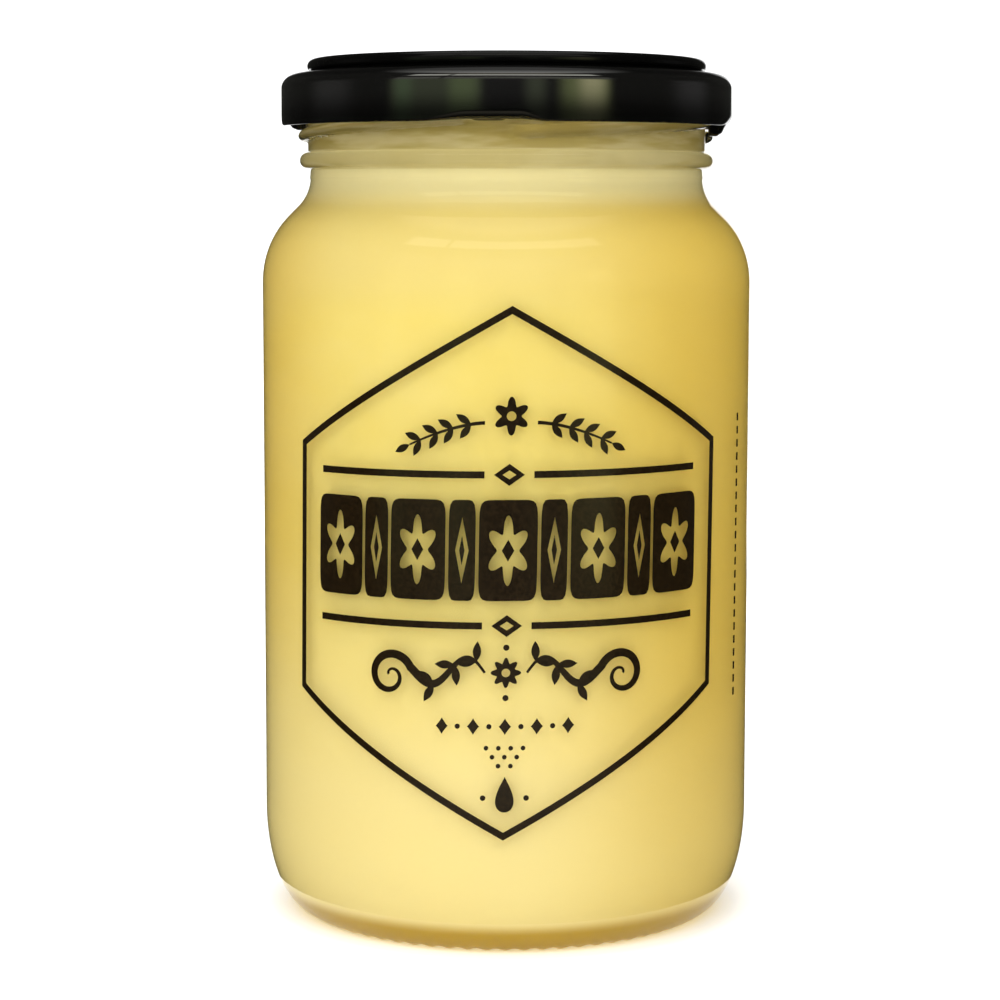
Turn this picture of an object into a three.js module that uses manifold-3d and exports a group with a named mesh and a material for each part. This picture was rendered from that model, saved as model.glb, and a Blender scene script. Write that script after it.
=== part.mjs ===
// A jar of creamed honey: a round glass jar with a four-start twist-off finish, the tinplate lid that
// closes it, and the honey that fills it. Millimetres, +Z up. The origin is the middle of the foot ring,
// and the printed front of the jar faces -Y.
import * as THREE from "three";
import { mergeVertices } from "three/addons/utils/BufferGeometryUtils.js";
import Module from "manifold-3d";

const wasm = await Module();
wasm.setup();

const DEGREE = Math.PI / 180;
const ROUND_STEPS = 48; // facets round the jar, the lid and the honey

// The glass body, from the foot up
const WALL = 2.3;
const BODY_RADIUS = 36;
const FOOT = { inner: 27.4, outer: 29.7, pushUp: 2.6 };
const HEEL_HEIGHT = 15.3;
const FLOOR = { edge: 3, middle: 5.6 };
const SHOULDER = { start: 93.2, radius: 13.9, slope: 44.6 };
const NECK = { radius: 28.85, fillet: 6 };

// The finish, which is the part of the jar that the lid grips
const BEAD = { low: 109.6, high: 112.1, radius: 30.4 };
const FINISH_RADIUS = 29.2;
const RIM = { top: 122.6, round: 1.1 };
const THREAD = {
  starts: 4,
  first: 0.6, // where the front one's lower end is, in degrees from the front towards +X
  span: 79,
  low: 113.4,
  rise: 2.1,
  height: 1.8,
  radius: 30.6,
  crestRound: 0.6,
  runOut: 4,
  root: 28.8,
};

// The lid. Its inside is measured to the sealing compound, which lies over the rim.
const LID = { radius: 33.05, low: 115.8, corner: 121.3, shoulder: 123.4, shoulderRadius: 30.55 };
const SKIRT = { inner: 31.5, round: 0.6, innerHigh: 121.2 };
const SEAL = { low: 122.9, inner: 25.6, outer: 29.6 };
const RING = { top: 125.5, outer: 29.25, outerRound: 1, inner: 26.3, innerRound: 0.9 };
const GROOVE = { radius: 28.7, high: 123.8 };
const PANEL = { radius: 24.2, high: 124.7, low: 123.8 };
const LUG = { first: -4.6, span: 9, reach: 29.6, tip: 0.2, flat: 1, root: 32.2, low: 115.9, high: 117 };
const LUG_DROPS = [0, 1.5, 0, 1]; // how far each lug is bent down, counted from the front one round by +X

// The honey
const CLEARANCE = 0.3;
const FILL_LEVEL = 118;

// Outlines are drawn in the (radius, height) plane.
const point = (r, z) => new THREE.Vector2(r, z);

// Points along an upright ellipse's arc. Angles are in degrees, from the radius axis towards +Z.
function arc(r, z, across, up, from, to, steps) {
  return Array.from({ length: steps + 1 }, (_, i) => {
    const a = (from + ((to - from) * i) / steps) * DEGREE;
    return point(r + across * Math.cos(a), z + up * Math.sin(a));
  });
}

// The body's outline a given depth under the glass surface, from the foot's edge to the straight neck.
function bodyOutline(depth, footHeight, steps) {
  const wall = BODY_RADIUS - depth;
  const bend = SHOULDER.radius - depth;
  const fillet = NECK.fillet + depth;
  const neck = NECK.radius - depth;
  const slope = SHOULDER.slope * DEGREE;
  const bendEnd = wall - bend * (1 - Math.cos(slope));
  const filletStart = neck + fillet * (1 - Math.cos(slope));
  const filletMiddle =
    SHOULDER.start + (bend + fillet) * Math.sin(slope) + (bendEnd - filletStart) / Math.tan(slope);
  return [
    ...arc(FOOT.outer, HEEL_HEIGHT, wall - FOOT.outer, HEEL_HEIGHT - footHeight, -90, 0, steps),
    ...arc(wall - bend, SHOULDER.start, bend, bend, 0, SHOULDER.slope, steps),
    ...arc(neck + fillet, filletMiddle, fillet, fillet, 180 + SHOULDER.slope, 180, steps),
  ];
}

// A floor that rises to the middle as a cosine does, from the middle outwards.
function dome(radius, edge, middle, steps) {
  return Array.from({ length: steps }, (_, i) => {
    const share = i / steps;
    return point(radius * share, edge + (middle - edge) * Math.cos(90 * DEGREE * share));
  });
}

// A closed solid from an outline that starts and ends on the axis, turned so that +Z is up.
function turned(outline) {
  return new THREE.LatheGeometry(outline, ROUND_STEPS).rotateX(Math.PI / 2);
}

// A bar of the given section, wrapped round the jar. It starts at the angle `from`, in degrees from -Y
// towards +X, and runs backwards over `span` degrees, sinking by `fall`. Its outer side tapers away over
// `runOut` degrees at both ends, down to the radius `root`.
function wrappedBar(section, { from, span, fall = 0, runOut = 0, root = 0, steps }) {
  const bar = new THREE.ExtrudeGeometry(new THREE.Shape(section), { depth: 1, steps, bevelEnabled: false });
  const place = bar.getAttribute("position");
  for (let i = 0; i < place.count; i++) {
    const share = place.getZ(i);
    const angle = (from - span * share) * DEGREE;
    const toEnd = Math.min(share, 1 - share) * span;
    const full = runOut ? Math.min(1, toEnd / runOut) : 1;
    const reach = place.getX(i);
    const radius = reach > root ? root + (reach - root) * full : reach;
    place.setXYZ(i, radius * Math.sin(angle), -radius * Math.cos(angle), place.getY(i) - fall * share);
  }
  return bar;
}

function solidOf(geometry) {
  const bare = geometry.clone();
  bare.deleteAttribute("normal");
  bare.deleteAttribute("uv");
  const merged = mergeVertices(bare, 1e-4);
  return new wasm.Manifold(
    new wasm.Mesh({
      numProp: 3,
      vertProperties: merged.getAttribute("position").array,
      triVerts: new Uint32Array(merged.index.array),
    }),
  );
}

function geometryOf(solid) {
  const { vertProperties, triVerts } = solid.getMesh();
  const geometry = new THREE.BufferGeometry();
  geometry.setAttribute("position", new THREE.BufferAttribute(vertProperties, 3));
  geometry.setIndex(new THREE.BufferAttribute(triVerts, 1));
  geometry.computeVertexNormals();
  return geometry;
}

function joined(base, pieces) {
  return geometryOf(pieces.reduce((whole, piece) => whole.add(solidOf(piece)), solidOf(base)));
}

// One of the ramps that a lug of the lid runs under. Its lower end is on the left, seen from outside.
function threadRamp(first) {
  const half = THREAD.height / 2;
  const middle = THREAD.low + half + THREAD.rise;
  const crest = THREAD.radius - THREAD.crestRound;
  const section = [
    point(THREAD.root, middle - half),
    point(FINISH_RADIUS, middle - half),
    ...arc(crest, middle, THREAD.crestRound, THREAD.crestRound, -75, 75, 3),
    point(FINISH_RADIUS, middle + half),
    point(THREAD.root, middle + half),
  ];
  return wrappedBar(section, {
    from: first + THREAD.span,
    span: THREAD.span,
    fall: THREAD.rise,
    runOut: THREAD.runOut,
    root: THREAD.root,
    steps: 16,
  });
}

function glassJar() {
  const beadHalf = (BEAD.high - BEAD.low) / 2;
  const beadReach = BEAD.radius - FINISH_RADIUS;
  const rimMiddle = (FINISH_RADIUS + NECK.radius - WALL) / 2;
  const outside = [
    ...dome(FOOT.inner, 0, FOOT.pushUp, 4),
    point(FOOT.inner, 0),
    ...bodyOutline(0, 0, 7),
    point(NECK.radius, BEAD.low),
    ...arc(FINISH_RADIUS, BEAD.low + beadHalf, beadReach, beadHalf, -80, 90, 4),
    ...arc(rimMiddle, RIM.top - RIM.round, FINISH_RADIUS - rimMiddle, RIM.round, 0, 180, 4),
  ];
  const inside = [
    ...dome(FOOT.outer, FLOOR.edge, FLOOR.middle, 3),
    ...bodyOutline(WALL, FLOOR.edge, 5),
  ].reverse();
  const ramps = Array.from({ length: THREAD.starts }, (_, i) =>
    threadRamp(THREAD.first + (i * 360) / THREAD.starts),
  );
  return joined(turned([...outside, ...inside]), ramps);
}

// The tinplate lid: a panel inside a raised ring, a groove, a rounded shoulder and the skirt. Its lower edge
// is curled in, which makes the skirt as thick as the curl.
function lid() {
  const edge = RING.outer - RING.outerRound;
  const shoulderReach = LID.radius - LID.shoulderRadius;
  const { round } = SKIRT;
  const curl = (middle, from, to) => arc(middle, LID.low + round, round, round, from, to, 2);
  const outside = [
    point(0, PANEL.high),
    point(PANEL.radius, PANEL.high),
    ...arc(RING.inner, RING.top - RING.innerRound, RING.innerRound, RING.innerRound, 150, 90, 2),
    ...arc(edge, RING.top - RING.outerRound, RING.outerRound, RING.outerRound, 90, -20, 3),
    point(GROOVE.radius, GROOVE.high),
    ...arc(LID.shoulderRadius, LID.corner, shoulderReach, LID.shoulder - LID.corner, 90, 0, 4),
    ...curl(LID.radius - round, 0, -90),
    ...curl(SKIRT.inner + round, -90, -180),
  ];
  const inside = [
    point(SKIRT.inner, SKIRT.innerHigh),
    point(SEAL.outer, SEAL.low),
    point(SEAL.inner, SEAL.low),
    point(PANEL.radius, PANEL.low),
    point(0, PANEL.low),
  ];
  const lugs = LUG_DROPS.map((lugDrop, i) => lug(LUG.first + (i * 360) / LUG_DROPS.length, lugDrop));
  return joined(turned([...outside, ...inside].reverse()), lugs);
}

// One of the tongues that are pressed inwards from the curl to hook under the thread ramps. Its inner end
// hangs `drop` below its place in a new lid.
function lug(middle, drop) {
  const section = [
    point(LUG.reach, (LUG.low + LUG.high) / 2),
    point(LUG.reach, LUG.low - drop + LUG.tip),
    point(LUG.reach + LUG.tip, LUG.low - drop),
    point(LUG.reach + LUG.tip + LUG.flat, LUG.low - drop),
    point((LUG.reach + LUG.flat + LUG.root) / 2, LUG.low - 0.8 * drop),
    point(LUG.root, LUG.low),
    point(LUG.root, LUG.high),
  ];
  return wrappedBar(section, { from: middle + LUG.span / 2, span: LUG.span, steps: 4 });
}

// The honey fills the jar to a level that the lid's skirt hides, a little short of the glass all round.
function honey() {
  const depth = WALL + CLEARANCE;
  const neck = NECK.radius - depth;
  const outline = [
    ...dome(FOOT.outer, FLOOR.edge + CLEARANCE, FLOOR.middle + CLEARANCE, 3),
    ...bodyOutline(depth, FLOOR.edge + CLEARANCE, 5),
    point(neck, FILL_LEVEL),
    point(0, FILL_LEVEL),
  ];
  return turned(outline);
}

const finishes = {
  glass_jar: { color: 0xeef3ee, roughness: 0.03, metalness: 0, transparent: true, opacity: 0.3 },
  honey: { color: 0xf3da80, roughness: 0.5, metalness: 0 },
  lid: { color: 0x0c0c0c, roughness: 0.15, metalness: 0 },
};

const jar = new THREE.Group();
for (const [name, shape] of Object.entries({ glass_jar: glassJar(), honey: honey(), lid: lid() })) {
  const piece = new THREE.Mesh(shape, new THREE.MeshStandardMaterial(finishes[name]));
  piece.name = name;
  jar.add(piece);
}

export default jar;
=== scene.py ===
import bmesh
import bpy
import numpy as np
from mathutils import Matrix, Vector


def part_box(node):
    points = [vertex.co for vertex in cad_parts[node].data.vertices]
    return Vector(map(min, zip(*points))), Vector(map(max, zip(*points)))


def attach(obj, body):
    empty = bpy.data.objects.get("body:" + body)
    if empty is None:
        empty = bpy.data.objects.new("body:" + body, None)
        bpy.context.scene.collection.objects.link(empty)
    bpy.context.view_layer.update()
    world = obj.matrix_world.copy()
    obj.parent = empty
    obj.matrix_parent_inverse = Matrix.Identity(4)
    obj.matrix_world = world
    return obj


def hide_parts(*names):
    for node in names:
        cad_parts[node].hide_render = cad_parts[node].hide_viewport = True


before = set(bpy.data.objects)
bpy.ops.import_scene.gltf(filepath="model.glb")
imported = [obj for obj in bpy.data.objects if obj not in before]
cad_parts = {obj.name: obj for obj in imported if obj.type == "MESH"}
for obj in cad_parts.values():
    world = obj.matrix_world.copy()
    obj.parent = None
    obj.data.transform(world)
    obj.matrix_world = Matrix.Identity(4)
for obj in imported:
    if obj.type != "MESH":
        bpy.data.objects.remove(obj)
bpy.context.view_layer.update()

MM = 0.001
DEGREE = np.pi / 180

# Sizes that the solids set, in metres
jar_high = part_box("glass_jar")[1]
lid_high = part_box("lid")[1]
honey_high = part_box("honey")[1]
BODY_RADIUS = jar_high.x - 0.05 * MM  # leaves room for the ink
RIM_TOP, FILL_LEVEL = jar_high.z, honey_high.z
LID_RADIUS, LID_TOP = lid_high.x, lid_high.z

# The glass, in metres
COLUMNS = 432  # mesh columns round the jar and the lid
WALL = 2.3 * MM
FOOT_INNER, FOOT_OUTER, PUSH_UP = 27.4 * MM, 29.7 * MM, 2.6 * MM
HEEL_HEIGHT = 15.3 * MM
FLOOR_EDGE, FLOOR_MIDDLE = 3 * MM, 5.6 * MM
GLASS_HEEL, HONEY_HEEL = 2, 2.5  # how full the heel's curve is: 2 is an ellipse
SHOULDER_START, SHOULDER_BEND = 93.2 * MM, 13.9 * MM
SHOULDER_SLOPE = 44.6 * DEGREE
NECK_RADIUS, NECK_FILLET = 28.85 * MM, 6 * MM
FINISH_RADIUS = 29.2 * MM
BEAD_LOW, BEAD_HIGH, BEAD_RADIUS = 109.6 * MM, 112.1 * MM, 30.4 * MM
THREADS_TOP, RIM_ROUND = 118 * MM, 1.1 * MM
PARTING_LINE, PARTING_WIDTH, PARTING_STEP = 108.4 * MM, 0.22 * MM, 0.12 * MM  # the step where the mould parts
KNURLS, KNURL_DEPTH, KNURL_FADE = 72, 0.3 * MM, 0.9 * MM  # notches round the foot
STARTS = 4  # threads, and as many lugs on the lid
THREAD_FIRST, THREAD_SPAN, THREAD_RUN_OUT = 0.6 * DEGREE, 79 * DEGREE, 4 * DEGREE
THREAD_MIDDLE, THREAD_RISE = 114.3 * MM, 2.1 * MM
THREAD_HALF, THREAD_CREST = 0.95 * MM, 1.4 * MM

# The honey, in metres
HONEY_LOW, NECK_START = 0.45 * MM, 110 * MM
HONEY_REACH = 0.15 * MM  # how far it reaches into the glass
HONEY_COLUMNS = 256

# The lid, in metres
SKIRT_LOW, SKIRT_CORNER, SHOULDER_TOP, SHOULDER_INNER = 115.8 * MM, 121.3 * MM, 123.4 * MM, 30.55 * MM
GROOVE_RADIUS, GROOVE_HEIGHT = 28.7 * MM, 123.8 * MM
RING_OUTER, RING_INNER, RING_ROUND = 29.25 * MM, 26.3 * MM, 1 * MM
PANEL_RADIUS, PANEL_HEIGHT, PANEL_BEND, PANEL_RISE = 24.2 * MM, 124.7 * MM, 0.8 * MM, 1.2 * MM
SEAL, SEAL_GAP = 0.9 * MM, 0.3 * MM  # the sheet and its sealing compound, and the gap over the glass rim
CURL_INNER, CURL_TOP, CURL_RISE = 31.5 * MM, 118 * MM, 0.96 * MM
EDGE_BEND, EDGE_IN = 0.32 * MM, 0.42 * MM  # where the lower edge's bend starts, and how far in it goes
LUG_BEND, LUG_IN, LUG_LIFT = 1.5 * MM, 0.75 * MM, 0.3 * MM  # how much more over a lug, where the edge rises
INNER_REACH, INNER_DROP = 1.2 * MM, 0.8 * MM  # how much smaller the shoulder is inside
LUG_MIDDLE, LUG_HALF = -2.8 * DEGREE, 6.2 * DEGREE
LUG_LEFT_RAMP, LUG_RIGHT_RAMP = 13 * DEGREE, 6.5 * DEGREE
TONGUE_MIDDLE, TONGUE_SPAN, TONGUE_REACH = -4.6 * DEGREE, 9 * DEGREE, 29.6 * MM
TONGUE_DROPS = (0, 1.5 * MM, 0, 0.6 * MM)  # from the front one round by +X

# The honey's tones: two of its own, then painted light and shade, and streaks in the shaded neck
GOLD, PALE_GOLD = (0.92, 0.76, 0.25, 1), (0.94, 0.79, 0.30, 1)
LOW_PAINTED_LIGHT, SHOULDER_PAINTED_SHADE = (0.955, 0.82, 0.42, 1), (0.84, 0.69, 0.28, 1)
RIGHT_PAINTED_SHADE, LEFT_PAINTED_SHADE = (0.82, 0.60, 0.13, 1), (0.84, 0.60, 0.13, 1)
NECK_PAINTED_HIGHLIGHT, BASE_PAINTED_SHADE = (0.945, 0.85, 0.48, 1), (0.54, 0.35, 0.025, 1)
LID_SHADED_STREAK_DARK, LID_SHADED_STREAK_LIGHT = (0.56, 0.44, 0.15, 1), (0.72, 0.61, 0.31, 1)

# Light all round. Each part of it reaches as far as the cosines in its edge say, from none to full.
WHITE, BLACK, FIELD_WHITE = (1, 1, 1, 1), (0, 0, 0, 1), (1.1, 1.1, 1.1, 1)
HORIZON, KEY, TOP, FILL, FIELD = 0.12, 2.35, 0.8, 1.1, 1.1
KEY_WAY, KEY_EDGE = (-0.12, -0.95, 0.45), (0.35, 0.95)
FILL_WAY, FILL_EDGE = (0, 0.77, 0.64), (0.6, 0.97)
TOP_EDGE, FIELD_EDGE = (0.6, 0.9), (0.93, 0.97)
LOOK = "Medium High Contrast"

# The floor and the wall far off, in metres
FLOOR_SIZE, FLOOR_LOW, WALL_RADIUS = 6.0, -0.02 * MM, 5.9
# A faint even glow over the floor, and a painted pool of warm light round the foot with its inner and outer
# edge.
FLOOR_LIFT, PAINTED_FOOT_LIGHT, PAINTED_FOOT_LIGHT_EDGE = (0.03, 0.03, 0.03, 1), (0.5, 0.42, 0.23, 1), (29 * MM, 35 * MM)

# The tent that only reflections see. Heights are in metres and angles in degrees from the front. A patch is
# its start, its end, how soft its edges are, and its light.
TENT_RADIUS, TENT_MOUTH, TENT_WALL, TENT_LOW = 0.34, 0.0375, 0.3, 0.1 * MM
TENT_CLOTH = (0.03, 0.03, 0.027, 1)
FLOOR_RING, FLOOR_ANGLE, FLOOR_GLOW = (0.12, 0.26, 0.06), (-40, 44, 22), (0.5, 0.46, 0.36, 1)
WINDOW_LOW, WINDOW_HIGH = (0, 0.03), (0.17, 0.26)
GARDEN = (
    (-57, -12, 4, (0.13, 0.147, 0.096, 1)),
    (-54, -46, 4, (0.18, 0.24, 0.138, 1)),
    (-27, -14, 4, (0.23, 0.285, 0.146, 1)),
    (9, 18, 4, (0.13, 0.147, 0.098, 1)),
    (26, 49, 5, (0.3, 0.335, 0.163, 1)),
)
SIDES = ((-108, -82, 9, (0.08, 0.08, 0.076, 1)), (90, 114, 9, (0.085, 0.085, 0.083, 1)))
SUNLIT, SUNLIT_LOW, SUNLIT_HIGH = (35, 47, 5, (0.78, 0.75, 0.45, 1)), 0.35, (0.12, 0.138)
SKY, SKY_HEIGHT = (-57, 53, 3, (0.98, 0.98, 0.89, 1)), (0.385, 0.46, 0.01)
HAZE, HAZE_HEIGHT = (0.22, 0.22, 0.19, 1), (0.21, 0.3, 0.04)
WINDOW_POST = (-33, -31, 1)
BACK_START, BACK_END, BACK_SOFT = 161, -167, 3
BACK_LOW, BACK_HIGH = (0, 0.02), (0.15, 0.25)
OVERHEAD, OVERHEAD_HEIGHT = (0.55, 0.55, 0.53, 1), (0.5, 0.58)


def arc(r, z, across, up, start, end, count):
    """Points of an upright ellipse's arc in the (radius, height) plane, between two angles in degrees."""
    a = np.linspace(start, end, count) * DEGREE
    return np.stack([r + across * np.cos(a), z + up * np.sin(a)], axis=1)


def run(start, end, count):
    """Points evenly spaced along a straight line, without its two ends."""
    share = np.linspace(0, 1, count + 2)[1:-1, None]
    return np.array(start) * (1 - share) + np.array(end) * share


def smooth(x):
    """0 below 0, 1 above 1, and 3x² - 2x³ between."""
    x = np.clip(x, 0, 1)
    return x * x * (3 - 2 * x)


def turned(radius, height, angle):
    """Points at a radius, a height and an angle from the jar's front (-Y) towards +X."""
    radius, height, angle = np.broadcast_arrays(radius, height, angle)
    return np.stack([radius * np.sin(angle), -radius * np.cos(angle), height], axis=-1)


def grid_faces(shape, loop_rows=False, loop_columns=False):
    """Quads that join each grid point to its next row and column. A looped direction joins its end to its
    start."""
    rows, columns = shape
    i = np.arange(rows if loop_rows else rows - 1)[:, None]
    j = np.arange(columns if loop_columns else columns - 1)[None, :]
    down, right = (i + 1) % rows, (j + 1) % columns
    corners = [i * columns + j, down * columns + j, down * columns + right, i * columns + right]
    return np.stack([np.broadcast_to(c, (i.size, j.size)) for c in corners], axis=-1).reshape(-1, 4)


def piece(name, grids, material, crease=35):
    """One mesh from several grids, each (points, loop_rows, loop_columns), with its open ends closed."""
    vertices, faces, count = [], [], 0
    for points, loop_rows, loop_columns in grids:
        faces.append(grid_faces(points.shape[:2], loop_rows, loop_columns) + count)
        vertices.append(points.reshape(-1, 3))
        count += vertices[-1].shape[0]
    mesh = bpy.data.meshes.new(name)
    mesh.from_pydata(np.concatenate(vertices).tolist(), [], np.concatenate(faces).tolist())
    form = bmesh.new()
    form.from_mesh(mesh)
    bmesh.ops.remove_doubles(form, verts=form.verts, dist=1e-7)
    open_edges = [e for e in form.edges if e.is_boundary]
    if open_edges:
        bmesh.ops.holes_fill(form, edges=open_edges)
    bmesh.ops.recalc_face_normals(form, faces=form.faces)
    form.to_mesh(mesh)
    form.free()
    mesh.polygons.foreach_set("use_smooth", np.ones(len(mesh.polygons), bool))
    mesh.set_sharp_from_angle(angle=crease * DEGREE)
    mesh.materials.append(material)
    made = bpy.data.objects.new(name, mesh)
    bpy.context.scene.collection.objects.link(made)
    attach(made, "root")
    return made


class Field:
    """A value that varies over a surface. Arithmetic on it adds the Math nodes that work it out."""

    def __init__(self, finish, socket):
        self.finish, self.socket = finish, socket

    def maths(self, operation, *values):
        return self.finish.node("ShaderNodeMath", {"operation": operation}, dict(enumerate(values)))

    def __add__(self, other):
        return self.maths("ADD", self, other)

    def __radd__(self, other):
        return self.maths("ADD", other, self)

    def __rsub__(self, other):
        return self.maths("SUBTRACT", other, self)

    def __mul__(self, other):
        return self.maths("MULTIPLY", self, other)

    def __rmul__(self, other):
        return self.maths("MULTIPLY", other, self)

    def root(self):
        return self.maths("SQRT", self)

    def angle(self, other):
        """The angle in degrees whose tangent is this value over the other, all the way round."""
        return self.maths("ARCTAN2", self, other) * (1 / DEGREE)

    def inside(self, low, high, soft):
        """1 from low to high and 0 outside, with soft edges half inside and half outside."""
        return self.between(low - soft, low + soft) * (1 - self.between(high - soft, high + soft))

    def between(self, low, high):
        """0 at low, 1 at high, smooth in between."""
        inputs = {"Value": self, "From Min": low, "From Max": high}
        return self.finish.node("ShaderNodeMapRange", {"interpolation_type": "SMOOTHSTEP"}, inputs)


class Tree:
    """A tree of shader nodes."""

    def __init__(self, tree):
        self.tree = tree

    def feed(self, node, inputs):
        for key, value in inputs.items():
            socket = node.inputs[key]
            if isinstance(value, Field):
                self.tree.links.new(value.socket, socket)
            else:
                socket.default_value = value

    def node(self, kind, settings, inputs, output=0):
        """A node of any kind, from its settings and then the values or fields of its sockets."""
        made = self.tree.nodes.new(kind)
        for key, value in settings.items():
            setattr(made, key, value)
        self.feed(made, inputs)
        return Field(self, made.outputs[output])


class Finish(Tree):
    """A procedural material with one Principled shader."""

    def __init__(self, name, **uniform):
        self.material = bpy.data.materials.new(name)
        self.material.use_nodes = True
        super().__init__(self.material.node_tree)
        self.shader = next(n for n in self.tree.nodes if n.type == "BSDF_PRINCIPLED")
        self.wear(**uniform)

    def place(self):
        return self.node("ShaderNodeTexCoord", {}, {}, "Object")

    def along(self, axis):
        """Where the point is along an axis of the jar, in metres."""
        return self.node("ShaderNodeSeparateXYZ", {}, {"Vector": self.place()}, axis)

    def reach(self):
        """How far the point is from the jar's axis, in metres."""
        across, deep = self.along("X"), self.along("Y")
        return (across * across + deep * deep).root()

    def noise(self, per_metre, detail=2, stretch=(1, 1, 1)):
        scaled = self.node("ShaderNodeMapping", {}, {"Vector": self.place(), "Scale": stretch})
        return self.node("ShaderNodeTexNoise", {}, {"Vector": scaled, "Scale": per_metre, "Detail": detail})

    def mix(self, share, low, high):
        """One colour where share is 0, the other where it is 1."""
        settings = {"data_type": "RGBA"}
        return self.node("ShaderNodeMix", settings, {0: share, 6: low, 7: high}, 2)

    def bump(self, height, distance, strength):
        return self.node("ShaderNodeBump", {}, {"Height": height, "Distance": distance, "Strength": strength})

    def wear(self, **inputs):
        """Sets the shader's own sockets, such as coat_ior for Coat IOR, and gives the material."""
        named = {key.replace("_", " ").title().replace("Ior", "IOR"): value for key, value in inputs.items()}
        self.feed(self.shader, named)
        return self.material


def clear_glass():
    """Clear glass with the faint waviness of a moulded jar."""
    tint = (0.985, 0.995, 0.98, 1)
    glass = Finish("clear_glass", base_color=tint, roughness=0.0, ior=1.5, transmission_weight=1.0)
    waves = glass.noise(90, 1) + 0.25 * glass.noise(420, 1)
    return glass.wear(normal=glass.bump(waves, 0.05 * MM, 0.5))


def creamed_honey():
    """Opaque pale gold in random swirls of tone, with light and shade painted in: paler low down as painted
    light, deeper at the shoulder and the sides as painted shade, a painted highlight in a pale band low in
    the neck, painted shade of the lid over the neck, which is streaked where it was smeared up to the lid,
    and painted shade that turns it brown under the base."""
    honey = Finish("creamed_honey", roughness=0.6, specular_ior_level=0.0)
    swirl = honey.noise(38, 3, (1, 1, 2.2))
    streaks = honey.noise(150, 3, (0.5, 0.5, 3))
    height, across = honey.along("Z"), honey.along("X")
    # Where painted shade darkens the right side, more so higher up.
    right_shade = across.between(0, 30 * MM) * (0.55 + 0.45 * height.between(10 * MM, 45 * MM))
    # Where painted shade darkens the left edge, from the lower body up.
    left_shade = (1 - across.between(-34 * MM, -21 * MM)) * height.between(22 * MM, 60 * MM)
    colour = honey.mix(swirl.between(0.3, 0.72), GOLD, PALE_GOLD)
    # Painted light: the honey paler low down, as if lit from the floor.
    colour = honey.mix(0.8 * (1 - height.between(18 * MM, 62 * MM)), colour, LOW_PAINTED_LIGHT)
    # Painted shade: the honey deeper gold over the shoulder.
    colour = honey.mix(0.8 * height.between(88 * MM, 97 * MM), colour, SHOULDER_PAINTED_SHADE)
    # Painted shade: a darker, warmer gold on the right side.
    colour = honey.mix(0.85 * right_shade, colour, RIGHT_PAINTED_SHADE)
    # Painted shade: a darker gold at the left edge.
    colour = honey.mix(0.5 * left_shade, colour, LEFT_PAINTED_SHADE)
    # Painted highlight: a pale band low in the neck, where overhead light reflects in the fillet.
    colour = honey.mix(height.between(102 * MM, 107 * MM), colour, NECK_PAINTED_HIGHLIGHT)
    # Streaks of smeared honey in the neck, both tones darkened as painted shade of the lid.
    neck = honey.mix(streaks.between(0.42, 0.68), LID_SHADED_STREAK_DARK, LID_SHADED_STREAK_LIGHT)
    colour = honey.mix(height.between(107.5 * MM, 114 * MM), colour, neck)
    # Painted shade: the honey brown under the base, low in the heel.
    colour = honey.mix(height.between(2.9 * MM, 5.2 * MM), BASE_PAINTED_SHADE, colour)
    return honey.wear(base_color=colour)


def black_lacquer():
    """Near-black gloss with a slight orange-peel surface, glossiest round the skirt's corner."""
    lacquer = Finish("black_lacquer", coat_roughness=0.05, coat_ior=2.8)
    tone = lacquer.mix(lacquer.noise(60), (0.0012, 0.0012, 0.0011, 1), (0.0025, 0.0025, 0.0023, 1))
    peel = lacquer.bump(lacquer.noise(900, 1), 0.02 * MM, 0.15)
    height = lacquer.along("Z")
    coat = height.between(116.6 * MM, 120.6 * MM) * (1 - height.between(122.2 * MM, 122.8 * MM))
    roughness = 0.08 + 0.08 * lacquer.noise(140)
    return lacquer.wear(base_color=tone, roughness=roughness, coat_weight=coat, normal=peel)


def screen_ink():
    """Brown-black enamel ink, slightly uneven where it is thick."""
    ink = Finish("screen_ink", ior=1.6)
    grain = ink.noise(2600)
    tone = ink.mix(grain.between(0.35, 0.7), (0.009, 0.005, 0.0012, 1), (0.02, 0.0115, 0.003, 1))
    return ink.wear(base_color=tone, roughness=0.14 + 0.1 * grain, normal=ink.bump(grain, 0.006 * MM, 0.2))


def heel(wall, low, fullness, count):
    """The curve from the foot's edge up to the wall: |x|^n + |z|^n = 1, a quarter ellipse at n = 2."""
    a = np.linspace(0, 90, count) * DEGREE
    across = (wall - FOOT_OUTER) * np.sin(a) ** (2 / fullness)
    down = (HEEL_HEIGHT - low) * np.cos(a) ** (2 / fullness)
    return np.stack([FOOT_OUTER + across, HEEL_HEIGHT - down], axis=1)


def body_outline(depth, low, count, fullness=GLASS_HEEL):
    """The glass outline a given depth under the surface: a rounded heel, an arc at the shoulder and a fillet
    into the neck, joined by straight walls."""
    wall, bend, fillet = BODY_RADIUS - depth, SHOULDER_BEND - depth, NECK_FILLET + depth
    neck = NECK_RADIUS - depth
    slope = SHOULDER_SLOPE
    bend_end = wall - bend * (1 - np.cos(slope))
    fillet_start = neck + fillet * (1 - np.cos(slope))
    straight = (bend_end - fillet_start) / np.tan(slope)
    fillet_middle = SHOULDER_START + (bend + fillet) * np.sin(slope) + straight
    degrees = slope / DEGREE
    return np.concatenate([
        heel(wall, low, fullness, count + 10),
        run((wall, HEEL_HEIGHT), (wall, SHOULDER_START), 8),
        arc(wall - bend, SHOULDER_START, bend, bend, 0, degrees, count),
        arc(neck + fillet, fillet_middle, fillet, fillet, 180 + degrees, 180, 2 * count),
    ])


def dome(radius, edge, middle, count):
    """A floor that rises to its middle as a cosine does."""
    share = np.linspace(0, 1, count + 1)[:-1]
    return np.stack([radius * share, edge + (middle - edge) * np.cos(share * np.pi / 2)], axis=1)


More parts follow.
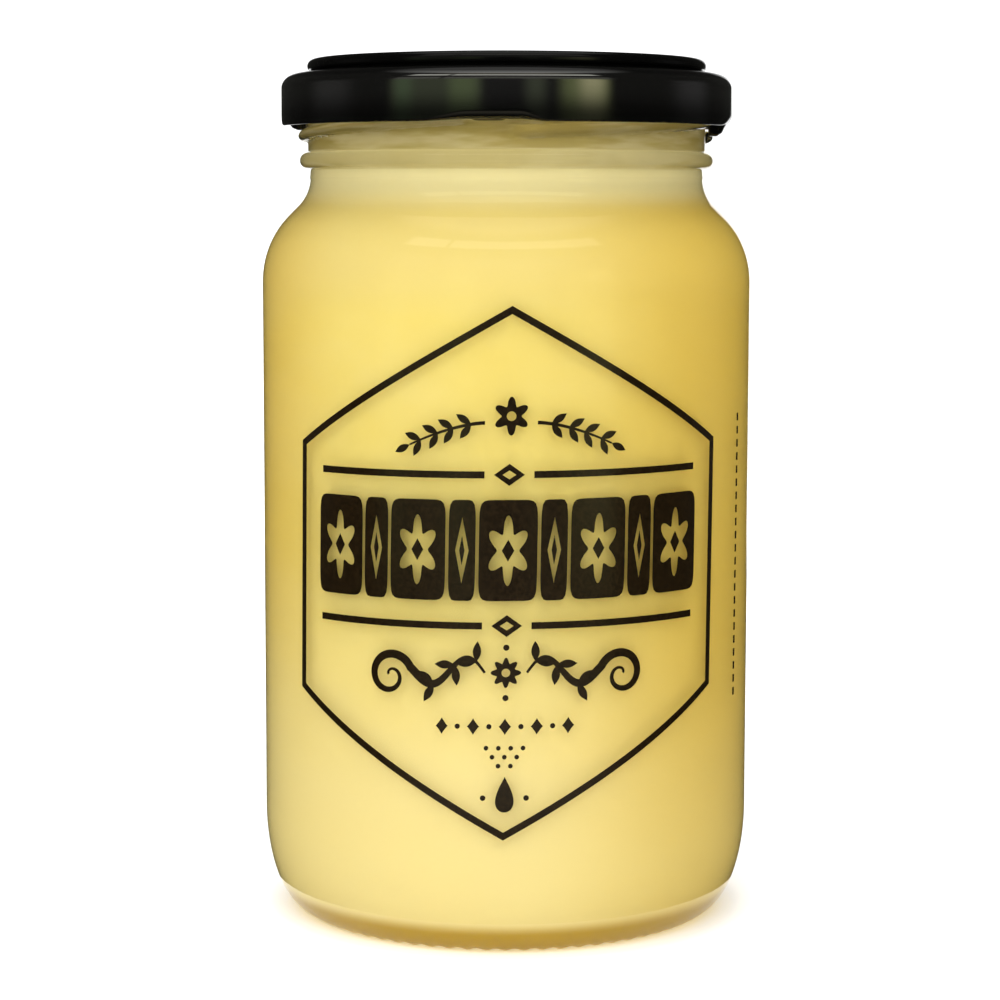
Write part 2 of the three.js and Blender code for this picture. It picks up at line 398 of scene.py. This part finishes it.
def thread_relief(angle, height):
    """How far the thread ramps stand out: a half-ellipse ridge, sqrt(1 - y²), that climbs with the angle and
    runs out at both ends."""
    turn = (angle - THREAD_FIRST) % (2 * np.pi / STARTS)
    middle = THREAD_MIDDLE + THREAD_RISE * turn / THREAD_SPAN
    ends = smooth(np.minimum(turn, THREAD_SPAN - turn) / THREAD_RUN_OUT)
    ridge = np.sqrt(np.clip(1 - ((height - middle) / THREAD_HALF) ** 2, 0, 1))
    return THREAD_CREST * ridge * ends


def glass_jar(material):
    """The glass wall, turned from its outline, with thread ramps, a parting line and a knurled foot."""
    bead = (BEAD_LOW + BEAD_HIGH) / 2
    rim_middle = (FINISH_RADIUS + NECK_RADIUS - WALL) / 2
    outside = np.concatenate([
        dome(FOOT_INNER, 0, PUSH_UP, 9),
        run((FOOT_INNER, 0), (FOOT_OUTER, 0), 3),
        body_outline(0, 0, 18),
        [(NECK_RADIUS, BEAD_LOW - 0.15 * MM)],
        arc(FINISH_RADIUS, bead, BEAD_RADIUS - FINISH_RADIUS, (BEAD_HIGH - BEAD_LOW) / 2, -85, 85, 13),
        run((FINISH_RADIUS, BEAD_HIGH), (FINISH_RADIUS, THREADS_TOP), 44),
        arc(rim_middle, RIM_TOP - RIM_ROUND, FINISH_RADIUS - rim_middle, RIM_ROUND, 0, 180, 8),
    ])
    inside = np.concatenate([
        dome(FOOT_OUTER, FLOOR_EDGE, FLOOR_MIDDLE, 7),
        body_outline(WALL, FLOOR_EDGE, 9),
    ])[::-1]
    outline = np.concatenate([outside, inside])
    angle = np.arange(COLUMNS) * 2 * np.pi / COLUMNS
    radius = outline[:, 0, None] + np.zeros(COLUMNS)
    height = outline[:, 1, None] + np.zeros(COLUMNS)
    is_outside = (np.arange(len(outline)) < len(outside))[:, None]
    radius = radius + thread_relief(angle, height) * (is_outside & (radius > FINISH_RADIUS - 0.01 * MM))
    parting = np.exp(-(((height - PARTING_LINE) / PARTING_WIDTH) ** 2))
    radius = radius + PARTING_STEP * parting * (is_outside & (radius < BODY_RADIUS))
    knurl = 0.5 - 0.5 * np.cos(KNURLS * angle)
    on_foot = smooth((radius - FOOT_INNER) / (0.6 * MM)) * smooth(1 - height / KNURL_FADE) * is_outside
    height = height + KNURL_DEPTH * knurl * on_foot
    jar = piece("jar_glass", [(turned(radius, height, angle), False, True)], material, 60)
    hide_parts("glass_jar")


def honey_fill(material):
    """The honey, turned from the glass's inner outline. It reaches just into the wall, deeper at the heel."""
    depth = WALL - HONEY_REACH
    outline = np.concatenate([
        dome(FOOT_OUTER, HONEY_LOW, FLOOR_MIDDLE - 0.1 * MM, 8),
        body_outline(depth, HONEY_LOW, 16, HONEY_HEEL),
        run((NECK_RADIUS - depth, NECK_START), (NECK_RADIUS - depth, FILL_LEVEL), 5),
        [(NECK_RADIUS - depth, FILL_LEVEL)],
        run((NECK_RADIUS - depth, FILL_LEVEL), (0, FILL_LEVEL), 6),
        [(0, FILL_LEVEL)],
    ])
    angle = np.arange(HONEY_COLUMNS) * 2 * np.pi / HONEY_COLUMNS
    points = turned(outline[:, 0, None], outline[:, 1, None], angle)
    honey = piece("honey_fill", [(points, False, True)], material, 60)
    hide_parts("honey")


def lug_dent(angle):
    """1 over each lug, 0 away from it, with a long ramp on its left and a short one on its right."""
    turn = (angle - LUG_MIDDLE + np.pi / STARTS) % (2 * np.pi / STARTS) - np.pi / STARTS
    left = smooth((turn + LUG_HALF + LUG_LEFT_RAMP) / LUG_LEFT_RAMP)
    right = smooth((LUG_HALF + LUG_RIGHT_RAMP - turn) / LUG_RIGHT_RAMP)
    return left * right


def lid_shell(material):
    """The lid, turned from its outline. Over each lug its lower edge rises and slopes in."""
    edge = RING_OUTER - RING_ROUND
    inner_round = 0.9 * RING_ROUND
    reach, drop = LID_RADIUS - SHOULDER_INNER, SHOULDER_TOP - SKIRT_CORNER
    fixed = np.concatenate([
        [(0, PANEL_HEIGHT)],
        run((0, PANEL_HEIGHT), (PANEL_RADIUS - PANEL_BEND, PANEL_HEIGHT), 5),
        arc(PANEL_RADIUS - PANEL_BEND, PANEL_HEIGHT + PANEL_RISE, PANEL_RISE, PANEL_RISE, -90, -55, 6),
        arc(RING_INNER, LID_TOP - inner_round, inner_round, inner_round, 140, 90, 8),
        arc(edge, LID_TOP - RING_ROUND, RING_ROUND, RING_ROUND, 90, -30, 16),
        arc(GROOVE_RADIUS + 0.35 * MM, GROOVE_HEIGHT + 0.2 * MM, 0.35 * MM, 0.3 * MM, 180, 270, 6),
        arc(SHOULDER_INNER, SKIRT_CORNER, reach, drop, 88, 0, 22),
    ])
    angle = np.arange(COLUMNS) * 2 * np.pi / COLUMNS
    dent = lug_dent(angle)
    crease = SKIRT_LOW + EDGE_BEND + LUG_BEND * dent
    wall = np.linspace(0, 1, 8)[1:-1, None]
    wall_height = SKIRT_CORNER * (1 - wall) + crease * wall
    wall_radius = np.full_like(wall_height, LID_RADIUS)
    bend = np.linspace(0, 90, 12)[:, None] * DEGREE
    slope_in = EDGE_IN + LUG_IN * dent
    low = SKIRT_LOW + LUG_LIFT * dent
    bend_radius = LID_RADIUS - slope_in * (1 - np.cos(bend))
    bend_height = crease - (crease - low) * np.sin(bend)
    tuck = np.linspace(0, 90, 12)[1:, None] * DEGREE
    tuck_radius = CURL_INNER + (LID_RADIUS - slope_in - CURL_INNER) * np.cos(tuck)
    tuck_height = low + CURL_RISE * (1 - np.cos(tuck))
    inner = np.concatenate([
        [(CURL_INNER + 0.2 * MM, CURL_TOP)],
        run((CURL_INNER + 0.4 * MM, CURL_TOP), (LID_RADIUS - INNER_REACH, SKIRT_CORNER), 3),
        arc(SHOULDER_INNER, SKIRT_CORNER, reach - INNER_REACH, drop - INNER_DROP, 0, 80, 6),
        [(GROOVE_RADIUS, RIM_TOP + SEAL_GAP), (RING_INNER, RIM_TOP + SEAL_GAP)],
        [(PANEL_RADIUS, PANEL_HEIGHT - SEAL), (0, PANEL_HEIGHT - SEAL)],
    ])

    def all_round(outline):
        return outline[:, :1] + np.zeros(COLUMNS), outline[:, 1:] + np.zeros(COLUMNS)

    top_radius, top_height = all_round(fixed)
    inner_radius, inner_height = all_round(inner)
    radius = np.concatenate([top_radius, wall_radius, bend_radius, tuck_radius, inner_radius])
    height = np.concatenate([top_height, wall_height, bend_height, tuck_height, inner_height])
    lid = piece("lid_shell", [(turned(radius, height, angle), False, True)], material, 50)
    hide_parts("lid")


def lid_tongues(material):
    """The four tongues that hook under the threads: a rounded hook section carried round a short arc. A point
    of the section is a radius and a share of the height."""
    section = np.array([
        (TONGUE_REACH, 0.75), (TONGUE_REACH, 0.2), (TONGUE_REACH + 0.2 * MM, 0), (TONGUE_REACH + 1.2 * MM, 0),
        (TONGUE_REACH + 2 * MM, 0.2), (32.3 * MM, 0.8), (32.2 * MM, 1), (31 * MM, 1),
    ])
    grids = []
    for i, drop in enumerate(TONGUE_DROPS):
        low, high = SKIRT_LOW + 0.12 * MM - drop, SKIRT_LOW + 1.1 * MM
        share = np.linspace(-1, 1, 17)[:, None]
        round_off = 0.35 * MM * (1 - np.sqrt(np.clip(1 - np.abs(share) ** 6, 0, 1)))
        angle = TONGUE_MIDDLE + i * np.pi / 2 + share * TONGUE_SPAN / 2
        radius = section[:, 0] + round_off * (section[:, 0] < 31 * MM)
        height = low + (high - low) * section[:, 1] + round_off * (section[:, 1] < 0.5)
        grids.append((turned(radius, height, angle), False, True))
    piece("lid_tongues", grids, material, 40)


# The print. Its shapes are drawn in millimetres on a flat sheet, across and up from its centre, then wrapped
# round the glass. It leans a little and climbs a little to the right.
PRINT_HEIGHT = 54.1
PRINT_ACROSS = 0.25
PRINT_LEAN = 0.016
PRINT_CLIMB = 0.0075
INK_HEIGHT, INK_ROOT = 0.04 * MM, -0.03 * MM
RULE = 0.95


def on_glass(flat, lift):
    """Wraps flat points round the jar: across becomes an arc's length on the glass, up stays up."""
    across = PRINT_ACROSS + flat[..., 0] + PRINT_LEAN * flat[..., 1]
    up = PRINT_HEIGHT + flat[..., 1] + PRINT_CLIMB * flat[..., 0]
    return turned(BODY_RADIUS + lift, up * MM, across * MM / BODY_RADIUS)


def ink(one_side, other_side, looped=False, steps=2):
    """A thin slab of ink between two lines of flat points, as a grid that loops round its section."""
    share = np.linspace(0, 1, steps + 1)[None, :, None]
    flat = one_side[:, None] * (1 - share) + other_side[:, None] * share
    section = np.concatenate([on_glass(flat, INK_HEIGHT), on_glass(flat[:, ::-1], INK_ROOT)], axis=1)
    return section, looped, True


def stroke(path, width):
    """A line of ink along a path, half its width to each side of it."""
    path = np.asarray(path, float)
    along = np.gradient(path, axis=0)
    across = np.stack([-along[:, 1], along[:, 0]], axis=1) / np.linalg.norm(along, axis=1, keepdims=True)
    half = np.broadcast_to(np.asarray(width, float) / 2, (len(path),))[:, None]
    return ink(path - across * half, path + across * half)


def line(start, end, width):
    """A straight stroke, cut into steps of at most 0.8 mm."""
    length = np.hypot(end[0] - start[0], end[1] - start[1])
    share = np.linspace(0, 1, max(2, int(length / 0.8) + 1))[:, None]
    return stroke(np.array(start) * (1 - share) + np.array(end) * share, width)


def polygon(corners, inset, steps):
    """A closed outline of straight sides, moved in by inset, with each side cut into steps."""
    corners = np.array(corners, float)
    ahead = np.roll(corners, -1, axis=0) - corners
    ahead /= np.linalg.norm(ahead, axis=1, keepdims=True)
    behind = np.roll(ahead, 1, axis=0)
    inwards = ahead - behind
    inwards /= np.linalg.norm(inwards, axis=1, keepdims=True)
    turn = np.abs(behind[:, 0] * inwards[:, 1] - behind[:, 1] * inwards[:, 0])
    moved = corners + inwards * (inset / turn)[:, None]
    share = np.linspace(0, 1, steps, endpoint=False)[None, :, None]
    return (moved[:, None] * (1 - share) + np.roll(moved, -1, axis=0)[:, None] * share).reshape(-1, 2)


def ring(centre, outer, inner, steps=3):
    """Ink between two closed outlines about a centre."""
    centre = np.asarray(centre, float)
    return ink(centre + outer, centre + inner, True, steps)


def blob(centre, outline, steps=3):
    """Ink that fills a closed outline about a centre."""
    return ring(centre, outline, outline * 0, steps)


def around(reach, count=72):
    """A closed outline from its reach at each angle, where angles start on the right."""
    angle = np.arange(count) * 2 * np.pi / count
    distance = reach(angle) + 0 * angle
    return np.stack([distance * np.cos(angle), distance * np.sin(angle)], axis=1)


def petals(size, number, depth, tall, count=72):
    """A flower: a circle whose reach swells and shrinks once for each petal, drawn out upwards."""
    shape = around(lambda a: size * (1 + depth * np.cos(number * (a - np.pi / 2))) / (1 + depth), count)
    return shape * (1, tall)


def disc(radius):
    """The outline of a round dot."""
    return around(lambda a: radius)


def lozenge(half_width, half_height, fullness=1.0, count=48):
    """|x/w|^n + |y/h|^n = 1: straight sides at n = 1, hollow below it, and a rounded box well above it."""
    def reach(a):
        across, up = np.abs(np.cos(a) / half_width), np.abs(np.sin(a) / half_height)
        return (across**fullness + up**fullness) ** (-1 / fullness)

    return around(reach, count)


def hexagon_frame(material):
    """One line round the whole print, a tall hexagon with upright sides."""
    half_width, shoulder, apex = 33.2, 17.35, 36.3
    corners = [
        (0, apex), (-half_width, shoulder), (-half_width, -shoulder),
        (0, -apex), (half_width, -shoulder), (half_width, shoulder),
    ]
    frame_line = ink(polygon(corners, -RULE / 2, 48), polygon(corners, RULE / 2, 48), True)
    piece("print_hexagon", [frame_line], material)


def print_rules(material):
    """Two long rules, over and under the bold band, each broken in its middle by an open lozenge."""
    grids = []
    for up in (13.9, -6.9):
        grids += [line((side * 3.4, up), (side * 28.9, up), RULE) for side in (-1, 1)]
        grids.append(ring((0, up), lozenge(2.1, 1.5), lozenge(0.95, 0.62), 2))
    piece("print_rules", grids, material)


def leaf(base, heading, length, width):
    """Ink that fills a pointed leaf, |y| = w/2 (1 - x²)^1.2, from its base along a heading."""
    share = np.cos(np.arange(40) * np.pi / 20)
    side = np.sign(np.sin(np.arange(40) * np.pi / 20 + 1e-9))
    shape = np.stack([share * length / 2, side * width / 2 * (1 - share**2) ** 1.2], axis=1)
    spin = np.array([[np.cos(heading), np.sin(heading)], [-np.sin(heading), np.cos(heading)]])
    middle = np.asarray(base) + length / 2 * np.array([np.cos(heading), np.sin(heading)])
    return blob(middle, shape @ spin, 2)


def leaves_along(vine, places, spread, length, width):
    """A pair of leaves at each of some places along a vine, turned out from its heading."""
    ahead = np.gradient(vine, axis=0)
    heading = np.arctan2(ahead[:, 1], ahead[:, 0])
    spots = [int(place * (len(vine) - 1)) for place in places]
    return [leaf(vine[i], heading[i] + way * spread, length, width) for i in spots for way in (-1, 1)]


def print_flower(material):
    """A six-petalled flower with an open middle, and a leafy sprig on each side of it."""
    grids = [ring((0.15, 21.9), petals(2.5, 6, 0.3, 1.06), disc(0.66))]
    share = np.linspace(0, 1, 40)
    for side in (-1, 1):
        sprig = np.stack([0.15 + side * (3.6 + 10.6 * share), 21.0 - 3.1 * share**1.6], axis=1)
        grids.append(stroke(sprig, 0.5 - 0.25 * share))
        grids += leaves_along(sprig, (0.2, 0.42, 0.64, 0.86), 0.75, 2.5, 1.0)
        grids.append(leaf(sprig[-1], np.arctan2(-0.5, side), 2.4, 1.0))
    piece("print_flower", grids, material)


def print_tiles(material):
    """A bold band of dark tiles: five broad ones with an open flower, four slim ones with an open lozenge."""
    broad, slim, gap, half_height, middle = 4.0, 1.85, 0.5, 6.95, 3.5
    pitch = 2 * (broad + slim + gap)
    grids = []
    for i in range(-2, 3):
        centre = (i * pitch, middle)
        tile = lozenge(broad, half_height, 9, 96)
        opening = petals(3.0, 6, 0.32, 1.62, 96)
        grids += [ring(centre, tile, opening, 4), blob(centre, lozenge(0.85, 1.5))]
    for i in (-1.5, -0.5, 0.5, 1.5):
        centre = (i * pitch, middle)
        grids.append(ring(centre, lozenge(slim, half_height, 7, 96), lozenge(0.95, 4.6, 1.0, 96)))
        grids.append(blob(centre, lozenge(0.36, 2.0)))
    piece("print_tiles", grids, material)


def print_ornament_rows(material):
    """A row of small lozenges and dots under the vines, and a triangle of dots under the row."""
    grids = []
    for i in range(-4, 5):
        grids.append(blob((2.2 * i, -20.9), lozenge(0.85, 1.15, 0.9) if i % 2 == 0 else disc(0.36)))
    for row, count in enumerate((4, 3, 2)):
        grids += [blob((1.7 * (i - (count - 1) / 2), -23.9 - 1.25 * row), disc(0.32)) for i in range(count)]
    piece("print_ornament_rows", grids, material)


def print_flourish(material):
    """Two mirrored vines that curl at their ends, with leaves, on either side of a small flower."""
    grids = [ring((0, -13.4), petals(2.1, 8, 0.22, 1), disc(0.6))]
    share = np.linspace(0, 1, 90)
    for side in (-1, 1):
        rise = 2.3 * np.sin(2.1 * np.pi * share) * (1 - 0.35 * share)
        wave = np.stack([2.9 + 10.6 * share, -13.4 + rise], axis=1)
        curl_reach = 3.1 * (1 - share) ** 0.8 + 0.25
        curl_middle = wave[-1] + curl_reach[0] * np.array([np.cos(0.4), -np.sin(0.4)])
        bend = np.pi - 0.4 - share * 2.7 * np.pi
        curl = curl_middle + np.stack([curl_reach * np.cos(bend), curl_reach * np.sin(bend)], axis=1)
        vine = np.concatenate([wave[:-1], curl]) * (side, 1)
        along = np.linspace(0, 1, len(vine))
        grids.append(stroke(vine, 0.35 + 0.85 * np.sin(np.pi * np.clip(along * 1.05, 0, 1)) ** 1.5))
        grids += leaves_along(vine[: len(wave)], (0.12, 0.4, 0.68), 0.85, 2.9, 1.15)
    grids += [blob((0, -13.4 + up), disc(0.42)) for up in (-3.5, 3.5)]
    piece("print_flourish", grids, material)


def print_drop(material):
    """A solid drop between two dots, near the frame's lowest corner."""
    turn = np.arange(72) * np.pi / 36
    drop = np.stack([1.75 * np.sin(turn) * np.sin(turn / 2) ** 1.3, 2.5 * np.cos(turn)], axis=1)
    grids = [blob((0.1, -30.4), drop, 2)]
    grids += [blob((0.1 + side * 3, -30.9), disc(0.38)) for side in (-1, 1)]
    piece("print_drop", grids, material)


def print_dashes(material):
    """A plain column of short dashes up the jar's right-hand side."""
    grids = [line((41.9, low), (41.9, low + 1.1), 0.55) for low in np.arange(-20.6, 19.4, 1.9)]
    piece("print_dashes", grids, material)


def staged(name, points, material, hidden_from=(), loop_columns=True):
    """A surface of the studio from one grid of points, with the kinds of ray that pass through it."""
    mesh = bpy.data.meshes.new(name)
    faces = grid_faces(points.shape[:2], False, loop_columns)
    mesh.from_pydata(points.reshape(-1, 3).tolist(), [], faces.tolist())
    mesh.materials.append(material)
    made = bpy.data.objects.new(name, mesh)
    for ray in hidden_from:
        setattr(made, "visible_" + ray, False)
    bpy.context.scene.collection.objects.link(made)


def floor():
    """A pale floor, wide enough for every view, with a faint even glow. Round the foot it carries a painted
    pool of warm light, a glow that stands in for light coming through the honey."""
    paper = Finish("pale_floor", roughness=0.9, emission_strength=1.0)
    paper.material.cycles.emission_sampling = "NONE"
    colour = paper.mix(paper.noise(3), (0.91, 0.91, 0.91, 1), (0.93, 0.93, 0.925, 1))
    # The painted pool of warm light round the foot, fading out to the even glow.
    glow = paper.mix(paper.reach().between(*PAINTED_FOOT_LIGHT_EDGE), PAINTED_FOOT_LIGHT, FLOOR_LIFT)
    side = np.linspace(-FLOOR_SIZE, FLOOR_SIZE, 5)
    across, deep = np.meshgrid(side, side[::-1])
    points = np.stack([across, deep, np.full_like(across, FLOOR_LOW)], axis=-1)
    staged("floor", points, paper.wear(base_color=colour, emission_color=glow), loop_columns=False)


def studio():
    """White surroundings: a bright front left, softer light from above and behind, a dim horizon and a white
    field behind the jar."""
    world = bpy.data.worlds.new("studio")
    world.use_nodes = True
    tree = world.node_tree
    surround = next(n for n in tree.nodes if n.type == "BACKGROUND")
    sky = Tree(tree)
    way = sky.node("ShaderNodeTexCoord", {}, {}, "Generated")

    def towards(x, y, z):
        """The cosine of the angle between the way that light comes from and a direction."""
        length = (x * x + y * y + z * z) ** 0.5
        unit = (x / length, y / length, z / length)
        return sky.node("ShaderNodeVectorMath", {"operation": "DOT_PRODUCT"}, {0: way, 1: unit}, "Value")

    key = towards(*KEY_WAY).between(*KEY_EDGE)
    fill = towards(*FILL_WAY).between(*FILL_EDGE)
    above = towards(0, 0, 1).between(*TOP_EDGE)
    behind = towards(0, 1, 0).between(*FIELD_EDGE)
    brightness = HORIZON + KEY * key + FILL * fill + TOP * above + (FIELD - HORIZON) * behind
    sky.feed(surround, {"Color": WHITE, "Strength": brightness})
    bpy.context.scene.world = world
    bpy.context.scene.view_settings.view_transform = "Standard"
    bpy.context.scene.view_settings.look = LOOK


def glowing(name, **uniform):
    """A finish that gives off light and reflects none."""
    finish = Finish(name, base_color=BLACK, roughness=1.0, specular_ior_level=0.0, **uniform)
    finish.material.cycles.emission_sampling = "NONE"
    return finish


def dark_tent():
    """A tent of dark cloth that only reflections see, as black cards that give glass its edges. It lies on
    the floor from its mouth outwards, rises at its wall and closes overhead. In front it shows a garden
    through windows with the sky above them, and behind the jar it is open to the white field."""
    cloth = glowing("tent_cloth", emission_strength=1.0)
    up = cloth.along("Z")
    angle = cloth.along("X").angle(0 - cloth.along("Y"))
    glow = cloth.mix(cloth.reach().inside(*FLOOR_RING) * angle.inside(*FLOOR_ANGLE), TENT_CLOTH, FLOOR_GLOW)
    at_window = up.between(*WINDOW_LOW) * (1 - up.between(*WINDOW_HIGH))
    for *patch, light in (*GARDEN, *SIDES):
        glow = cloth.mix(at_window * angle.inside(*patch), glow, light)
    *patch, light = SUNLIT
    sunlit = SUNLIT_LOW + (1 - SUNLIT_LOW) * up.between(*SUNLIT_HIGH)
    glow = cloth.mix(sunlit * at_window * angle.inside(*patch), glow, light)
    *patch, light = SKY
    over_window = angle.inside(*patch) * (1 - angle.inside(*WINDOW_POST))
    glow = cloth.mix(over_window * up.inside(*HAZE_HEIGHT), glow, HAZE)
    glow = cloth.mix(over_window * up.inside(*SKY_HEIGHT), glow, light)
    right_of_back = angle.between(BACK_START - BACK_SOFT, BACK_START)
    left_of_back = 1 - angle.between(BACK_END, BACK_END + BACK_SOFT)
    opening = (right_of_back + left_of_back) * up.between(*BACK_LOW) * (1 - up.between(*BACK_HIGH))
    glow = cloth.mix(opening, glow, FIELD_WHITE)
    glow = cloth.mix(up.between(*OVERHEAD_HEIGHT), glow, OVERHEAD)
    profile = np.concatenate([
        np.linspace((TENT_MOUTH, TENT_LOW), (TENT_RADIUS, TENT_LOW), 8),
        run((TENT_RADIUS, TENT_LOW), (TENT_RADIUS, TENT_WALL), 5),
        arc(0, TENT_WALL, TENT_RADIUS, TENT_RADIUS, 0, 90, 16),
    ])
    points = turned(profile[:, :1], profile[:, 1:], np.arange(96) * 2 * np.pi / 96)
    material = cloth.wear(emission_color=glow)
    staged("dark_tent", points, material, ("camera", "diffuse", "transmission", "shadow"))


def far_wall():
    """A white wall far off, all round and overhead, that the camera alone sees."""
    paint = glowing("white_wall", emission_color=WHITE, emission_strength=FIELD)
    profile = arc(0, -0.1 * MM, WALL_RADIUS, WALL_RADIUS, 0, 90, 12)
    points = turned(profile[:, :1], profile[:, 1:], np.arange(48) * 2 * np.pi / 48)
    staged("far_wall", points, paint.material, ("diffuse", "glossy", "transmission", "shadow"))


def camera():
    """A long lens at the height of the jar's shoulder, tipped down a little."""
    distance, height = 0.408, 0.1055
    pitch, yaw, roll = 6.28, 0.125, 0.1
    lens = bpy.data.cameras.new("camera")
    lens.sensor_width = 36
    lens.lens = 98.93
    lens.clip_start = 0.01
    made = bpy.data.objects.new("camera", lens)
    turn = Matrix.Rotation(yaw * DEGREE, 4, "Z") @ Matrix.Rotation((90 - pitch) * DEGREE, 4, "X")
    place = Matrix.Translation((0, -distance, height))
    made.matrix_world = place @ turn @ Matrix.Rotation(roll * DEGREE, 4, "Z")
    bpy.context.scene.collection.objects.link(made)
    bpy.context.scene.camera = made


camera()
studio()
floor()
dark_tent()
far_wall()
glass_jar(clear_glass())
honey_fill(creamed_honey())
lacquer = black_lacquer()
lid_shell(lacquer)
lid_tongues(lacquer)
enamel = screen_ink()
for draw in (
    hexagon_frame, print_rules, print_flower, print_tiles,
    print_ornament_rows, print_flourish, print_drop, print_dashes,
):
    draw(enamel)
